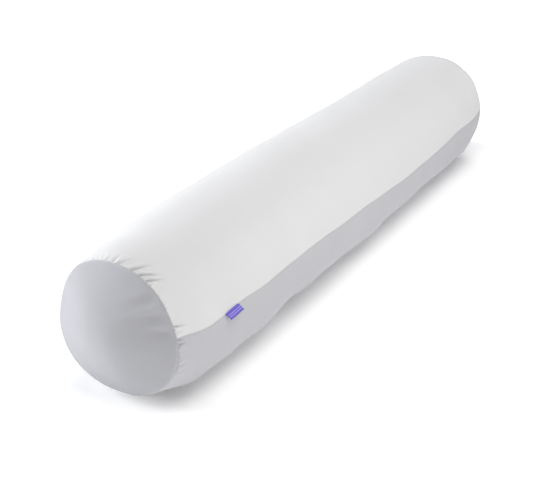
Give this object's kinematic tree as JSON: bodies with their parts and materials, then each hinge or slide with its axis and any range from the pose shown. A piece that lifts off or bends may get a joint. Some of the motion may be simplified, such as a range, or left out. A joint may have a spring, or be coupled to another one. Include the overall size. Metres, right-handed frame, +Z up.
{
  "type": "body pillow",
  "caption": "Long round bolster body pillow with a white top panel, pale grey sides and round grey ends, and a small folded purple label in one side seam.",
  "frame": {"origin": "on the surface the pillow lies on, under the middle of its footprint", "axes": "+X along the pillow, away from the labelled end; the labelled seam is on the -Y side; +Z up, out of the white top panel"},
  "size_m": [1.388, 0.2968, 0.2634],
  "materials": {
    "white_cover": "soft matt white jersey with a faint sheen",
    "grey_cover": "soft matt pale grey jersey with a faint sheen",
    "purple_ribbon": "fine woven purple ribbon, slightly glossy"
  },
  "bodies": {
    "root": {"top_panel": "white_cover", "under_panel": "grey_cover", "near_end": "grey_cover", "far_end": "grey_cover", "label": "purple_ribbon"}
  },
  "joints": []
}
